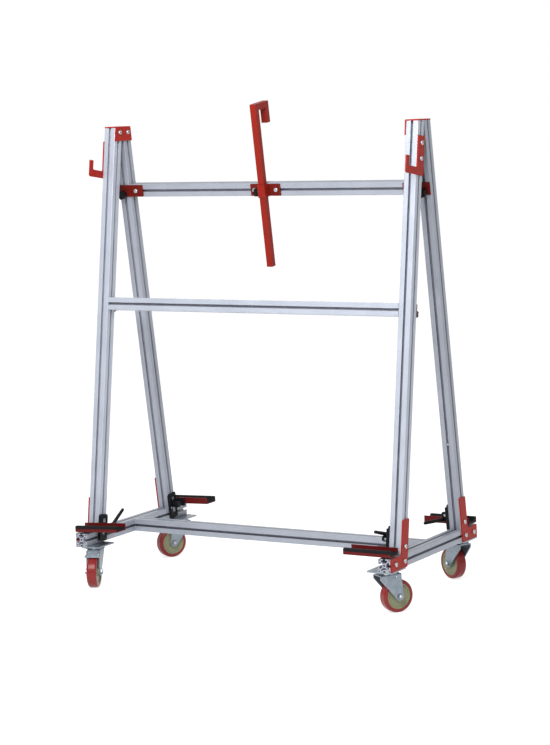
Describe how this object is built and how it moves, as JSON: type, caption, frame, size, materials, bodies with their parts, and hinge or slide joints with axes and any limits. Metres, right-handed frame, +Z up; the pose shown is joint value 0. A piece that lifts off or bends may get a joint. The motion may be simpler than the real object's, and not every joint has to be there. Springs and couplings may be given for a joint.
{
  "type": "glazing trolley",
  "caption": "Slotted-aluminium A-frame trolley for panes and panels, with rubber-lined support arms, adjustable rails, hooks and swivel casters.",
  "frame": {"origin": "on the floor under the middle of the footprint, with the casters as they stand: midway between the side rails and 18 mm in front of their middle", "axes": "+X along the trolley to the right, +Y to the back, +Z up; the front is -Y"},
  "size_m": [1.1496, 0.6258, 1.5176],
  "materials": {
    "bar": "anodised satin",
    "red_plate": "powder coat",
    "dark_red_plate": "powder coat",
    "pole_red": "powder coat",
    "arm_red": "powder coat",
    "pad_rubber": "matte",
    "black_bracket": "satin",
    "black_plastic": "satin",
    "tread": "glossy cast polyurethane",
    "core": "moulded",
    "galvanised": "zinc plated",
    "bolt": "zinc plated"
  },
  "bodies": {
    "frame": {"apex_plate_left": "red_plate", "apex_plate_right": "red_plate", "back_leg_left": "bar", "back_leg_right": "bar", "caster_plates": "galvanised", "corner_plates_left": "red_plate", "corner_plates_right": "red_plate", "cross_rail": "bar", "frame_bolts": "bolt", "front_leg_left": "bar", "front_leg_right": "bar", "panel_hook_left": "red_plate", "panel_hook_right": "red_plate", "side_rail_left": "bar", "side_rail_right": "bar"},
    "middle_rail_body": {"middle_rail": "bar", "middle_rail_plates": "dark_red_plate", "middle_rail_bolts": "bolt"},
    "upper_rail_body": {"upper_rail": "bar", "upper_rail_plates": "dark_red_plate", "upper_rail_bolts": "bolt"},
    "pole_slider": {"pole_bracket": "dark_red_plate", "pole_bracket_bolts": "bolt"},
    "pole_knob_body": {"pole_knob": "black_plastic"},
    "pole": {"hook_pole": "pole_red"},
    "middle_knob_left_body": {"middle_knob_left": "black_plastic"},
    "upper_knob_left_body": {"upper_knob_left": "black_plastic"},
    "middle_knob_right_body": {"middle_knob_right": "black_plastic"},
    "upper_knob_right_body": {"upper_knob_right": "black_plastic"},
    "support_front_left": {"support_arm_front_left": "arm_red", "support_pad_front_left": "pad_rubber", "support_bracket_front_left": "black_bracket"},
    "lever_front_left": {"clamp_lever_front_left": "black_plastic"},
    "caster_front_left": {"caster_fork_front_left": "galvanised"},
    "wheel_front_left": {"wheel_core_front_left": "core", "wheel_tread_front_left": "tread"},
    "brake_front_left": {"brake_pedal_front_left": "galvanised"},
    "support_front_right": {"support_arm_front_right": "arm_red", "support_pad_front_right": "pad_rubber", "support_bracket_front_right": "black_bracket"},
    "lever_front_right": {"clamp_lever_front_right": "black_plastic"},
    "caster_front_right": {"caster_fork_front_right": "galvanised"},
    "wheel_front_right": {"wheel_core_front_right": "core", "wheel_tread_front_right": "tread"},
    "support_back_left": {"support_arm_back_left": "arm_red", "support_pad_back_left": "pad_rubber", "support_bracket_back_left": "black_bracket"},
    "lever_back_left": {"clamp_lever_back_left": "black_plastic"},
    "caster_back_left": {"caster_fork_back_left": "galvanised"},
    "wheel_back_left": {"wheel_core_back_left": "core", "wheel_tread_back_left": "tread"},
    "brake_back_left": {"brake_pedal_back_left": "galvanised"},
    "support_back_right": {"support_arm_back_right": "arm_red", "support_pad_back_right": "pad_rubber", "support_bracket_back_right": "black_bracket"},
    "lever_back_right": {"clamp_lever_back_right": "black_plastic"},
    "caster_back_right": {"caster_fork_back_right": "galvanised"},
    "wheel_back_right": {"wheel_core_back_right": "core", "wheel_tread_back_right": "tread"}
  },
  "joints": [
    {"name": "middle_rail_lift", "type": "slide", "parent": "frame", "child": "middle_rail_body", "axis": [0, 0.1454, 0.9894], "range_m": [-0.45, 0.15]},
    {"name": "upper_rail_lift", "type": "slide", "parent": "frame", "child": "upper_rail_body", "axis": [0, -0.1454, 0.9894], "range_m": [-0.45, 0.05]},
    {"name": "pole_travel", "type": "slide", "parent": "upper_rail_body", "child": "pole_slider", "axis": [1, 0, 0], "range_m": [-0.4, 0.42]},
    {"name": "pole_height", "type": "slide", "parent": "pole_slider", "child": "pole", "axis": [0, -0.1454, 0.9894], "range_m": [-0.17, 0.19]},
    {"name": "pole_knob_turn", "type": "hinge", "parent": "pole_slider", "child": "pole_knob_body", "pos_m": [-0.0244, 0.03166, 1.23368], "axis": [-1, 0, 0], "range_deg": [0, 360]},
    {"name": "middle_knob_left_turn", "type": "hinge", "parent": "middle_rail_body", "child": "middle_knob_left_body", "pos_m": [-0.54, -0.06204, 0.87401], "axis": [0, 0.9894, -0.1454], "range_deg": [0, 360]},
    {"name": "upper_knob_left_turn", "type": "hinge", "parent": "upper_rail_body", "child": "upper_knob_left_body", "pos_m": [-0.54, 0.04564, 1.23068], "axis": [0, -0.9894, -0.1454], "range_deg": [0, 360]},
    {"name": "middle_knob_right_turn", "type": "hinge", "parent": "middle_rail_body", "child": "middle_knob_right_body", "pos_m": [0.54, -0.06204, 0.87401], "axis": [0, 0.9894, -0.1454], "range_deg": [0, 360]},
    {"name": "upper_knob_right_turn", "type": "hinge", "parent": "upper_rail_body", "child": "upper_knob_right_body", "pos_m": [0.54, 0.04564, 1.23068], "axis": [0, -0.9894, -0.1454], "range_deg": [0, 360]},
    {"name": "support_front_left_lift", "type": "slide", "parent": "frame", "child": "support_front_left", "axis": [0, 0.1454, 0.9894], "range_m": [0, 0.25]},
    {"name": "lever_front_left_turn", "type": "hinge", "parent": "support_front_left", "child": "lever_front_left", "pos_m": [-0.516, -0.18779, 0.1832], "axis": [1, 0, 0], "range_deg": [-100, 80]},
    {"name": "caster_front_left_swivel", "type": "hinge", "parent": "frame", "child": "caster_front_left", "pos_m": [-0.522, -0.23, 0.12], "axis": [0, 0, 1], "continuous": true},
    {"name": "wheel_front_left_spin", "type": "hinge", "parent": "caster_front_left", "child": "wheel_front_left", "pos_m": [-0.5095, -0.25946, 0.05], "axis": [0.9205, 0.3907, 0], "continuous": true},
    {"name": "brake_front_left_press", "type": "hinge", "parent": "caster_front_left", "child": "brake_front_left", "pos_m": [-0.51301, -0.25117, 0.1107], "axis": [0.9205, 0.3907, 0], "range_deg": [0, 5]},
    {"name": "support_front_right_lift", "type": "slide", "parent": "frame", "child": "support_front_right", "axis": [0, 0.1454, 0.9894], "range_m": [0, 0.25]},
    {"name": "lever_front_right_turn", "type": "hinge", "parent": "support_front_right", "child": "lever_front_right", "pos_m": [0.516, -0.18325, 0.21407], "axis": [1, 0, 0], "range_deg": [-170, 25]},
    {"name": "caster_front_right_swivel", "type": "hinge", "parent": "frame", "child": "caster_front_right", "pos_m": [0.522, -0.23, 0.12], "axis": [0, 0, 1], "continuous": true},
    {"name": "wheel_front_right_spin", "type": "hinge", "parent": "caster_front_right", "child": "wheel_front_right", "pos_m": [0.53896, -0.20286, 0.05], "axis": [-0.848, 0.5299, 0], "continuous": true},
    {"name": "support_back_left_lift", "type": "slide", "parent": "frame", "child": "support_back_left", "axis": [0, -0.1454, 0.9894], "range_m": [0, 0.25]},
    {"name": "lever_back_left_turn", "type": "hinge", "parent": "support_back_left", "child": "lever_back_left", "pos_m": [-0.516, 0.22379, 0.1832], "axis": [1, 0, 0], "range_deg": [0, 360]},
    {"name": "caster_back_left_swivel", "type": "hinge", "parent": "frame", "child": "caster_back_left", "pos_m": [-0.522, 0.266, 0.12], "axis": [0, 0, 1], "continuous": true},
    {"name": "wheel_back_left_spin", "type": "hinge", "parent": "caster_back_left", "child": "wheel_back_left", "pos_m": [-0.53751, 0.23801, 0.05], "axis": [0.8746, -0.4848, 0], "continuous": true},
    {"name": "brake_back_left_press", "type": "hinge", "parent": "caster_back_left", "child": "brake_back_left", "pos_m": [-0.53315, 0.24588, 0.1107], "axis": [0.8746, -0.4848, 0], "range_deg": [0, 5]},
    {"name": "support_back_right_lift", "type": "slide", "parent": "frame", "child": "support_back_right", "axis": [0, -0.1454, 0.9894], "range_m": [0, 0.25]},
    {"name": "lever_back_right_turn", "type": "hinge", "parent": "support_back_right", "child": "lever_back_right", "pos_m": [0.516, 0.21925, 0.21407], "axis": [1, 0, 0], "range_deg": [-170, 90]},
    {"name": "caster_back_right_swivel", "type": "hinge", "parent": "frame", "child": "caster_back_right", "pos_m": [0.522, 0.266, 0.12], "axis": [0, 0, 1], "continuous": true},
    {"name": "wheel_back_right_spin", "type": "hinge", "parent": "caster_back_right", "child": "wheel_back_right", "pos_m": [0.49375, 0.28102, 0.05], "axis": [-0.4695, -0.8829, 0], "continuous": true}
  ]
}
